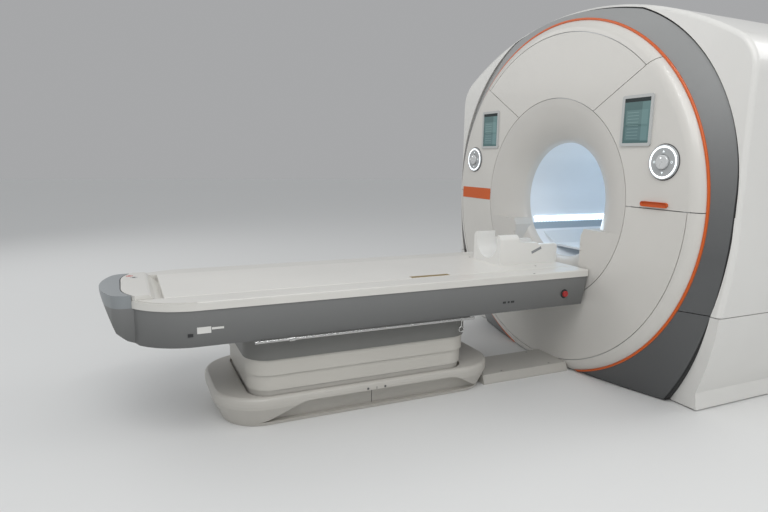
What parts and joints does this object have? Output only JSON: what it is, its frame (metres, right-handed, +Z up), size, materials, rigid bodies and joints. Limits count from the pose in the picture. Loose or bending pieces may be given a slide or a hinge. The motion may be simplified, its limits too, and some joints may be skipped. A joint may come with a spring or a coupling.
{
  "type": "mri scanner",
  "caption": "Whole-body MRI scanner: round-faced gantry with a lit bore, side displays and dials, and a patient table on a telescoping pedestal.",
  "frame": {"origin": "on the floor, straight below the centre of the bore, in the middle of the four anchor bolts", "axes": "+Z up, the bore along Y, the table on the -Y side, +X to the right when facing the front"},
  "size_m": [2.31, 4.353, 2.0998],
  "materials": {
    "cover_white": "satin moulded cover, warm white",
    "shell_white": "satin moulded cover, white",
    "band_grey": "metallic grey lacquer",
    "accent_orange": "orange accent",
    "gap_black": "dark gap strip",
    "flare_white": "satin moulded cover, warm white",
    "liner_pale": "smooth pale tube",
    "light_strip": "lit strip",
    "deck_pale": "smooth pale ledge",
    "bezel_grey": "matte",
    "screen": "dark display glass, lit",
    "dial_grey": "satin key ring",
    "knob_grey": "satin knob",
    "vessel_metal": "painted vessel",
    "foot_metal": "painted steel",
    "cold_metal": "machined",
    "coil_resin": "cast resin with copper",
    "support_rubber": "damping wedge",
    "frame_alu": "extruded frame",
    "base_white": "moulded cover",
    "duct_white": "painted sheet",
    "plate_metal": "painted steel",
    "lift_metal": "painted cylinder",
    "rod_chrome": "polished rod",
    "skirt_grey": "matte grey",
    "skirt_white": "moulded cover",
    "chassis_metal": "painted frame",
    "beam_grey": "warm grey, satin",
    "cap_bluegrey": "blue grey, satin",
    "top_white": "white table top",
    "board_white": "smooth white board",
    "rail_steel": "brushed rail",
    "stop_red": "red button",
    "coil_white": "white coil housing"
  },
  "bodies": {
    "gantry_and_pedestal": {"magnet_vessel": "vessel_metal", "magnet_feet": "foot_metal", "cold_head": "cold_metal", "gradient_coil": "coil_resin", "coil_supports": "support_rubber", "body_coil": "coil_resin", "bore_liner": "liner_pale", "bore_lights": "light_strip", "bore_deck": "deck_pale", "cover_frame_front": "frame_alu", "cover_frame_rear": "frame_alu", "front_top_panel": "cover_white", "front_top_rim": "cover_white", "front_right_panel": "cover_white", "front_left_panel": "cover_white", "front_lower_panel": "cover_white", "front_lower_rim_right": "cover_white", "front_lower_rim_left": "cover_white", "front_foot_rim": "cover_white", "bore_flare_front": "flare_white", "bore_flare_rear": "flare_white", "accent_ring": "accent_orange", "side_band_upper": "band_grey", "side_band_lower_right": "band_grey", "side_band_lower_left": "band_grey", "band_gap_seal": "gap_black", "rear_shell_upper": "shell_white", "rear_shell_lower_right": "shell_white", "rear_shell_lower_left": "shell_white", "rear_panel": "shell_white", "display_bezel_right": "bezel_grey", "display_bezel_left": "bezel_grey", "display_screen_right": "screen", "display_screen_left": "screen", "dial_ring_right": "dial_grey", "dial_ring_left": "dial_grey", "floor_duct": "duct_white", "table_base": "base_white", "table_base_plate": "plate_metal", "lift_cylinders": "lift_metal"},
    "table": {"lift_rods": "rod_chrome", "skirt_upper": "skirt_grey", "table_frame": "chassis_metal", "beam_side_right": "beam_grey", "beam_side_left": "beam_grey", "beam_end_cap": "cap_bluegrey", "head_end_plate": "cap_bluegrey", "table_top_frame": "top_white", "tabletop_board": "board_white", "foot_panel": "top_white", "accessory_rail": "rail_steel", "rail_hook": "rail_steel", "head_coil_base": "coil_white"},
    "skirt_middle_section": {"skirt_middle": "skirt_white"},
    "skirt_lower_section": {"skirt_lower": "skirt_white"},
    "knob_right": {"dial_knob_right": "knob_grey"},
    "knob_left": {"dial_knob_left": "knob_grey"},
    "stop_right": {"stop_button_right": "stop_red"},
    "stop_left": {"stop_button_left": "stop_red"}
  },
  "joints": [
    {"name": "table_lift", "type": "slide", "parent": "gantry_and_pedestal", "child": "table", "axis": [0, 0, 1], "range_m": [-0.118, 0.142]},
    {"name": "skirt_middle_slide", "type": "slide", "parent": "gantry_and_pedestal", "child": "skirt_middle_section", "axis": [0, 0, 1], "range_m": [-0.08, 0.096]},
    {"name": "skirt_lower_slide", "type": "slide", "parent": "gantry_and_pedestal", "child": "skirt_lower_section", "axis": [0, 0, 1], "range_m": [-0.04, 0.048]},
    {"name": "knob_right_turn", "type": "hinge", "parent": "gantry_and_pedestal", "child": "knob_right", "pos_m": [0.818, -0.94, 1.24], "axis": [0, 1, 0], "range_deg": [-25, 25], "stiffness_Nm_per_rad": 0.3},
    {"name": "knob_left_turn", "type": "hinge", "parent": "gantry_and_pedestal", "child": "knob_left", "pos_m": [-0.818, -0.94, 1.24], "axis": [0, 1, 0], "range_deg": [-25, 25], "stiffness_Nm_per_rad": 0.3},
    {"name": "stop_right_press", "type": "slide", "parent": "table", "child": "stop_right", "axis": [-1, 0, 0], "range_m": [0, 0.005], "stiffness_N_per_m": 800, "springref_m": -0.002},
    {"name": "stop_left_press", "type": "slide", "parent": "table", "child": "stop_left", "axis": [1, 0, 0], "range_m": [0, 0.005], "stiffness_N_per_m": 800, "springref_m": -0.002}
  ],
  "couplings": [
    {"joint": "skirt_middle_slide", "follows": "table_lift", "ratio": 0.66667},
    {"joint": "skirt_lower_slide", "follows": "table_lift", "ratio": 0.33333}
  ]
}
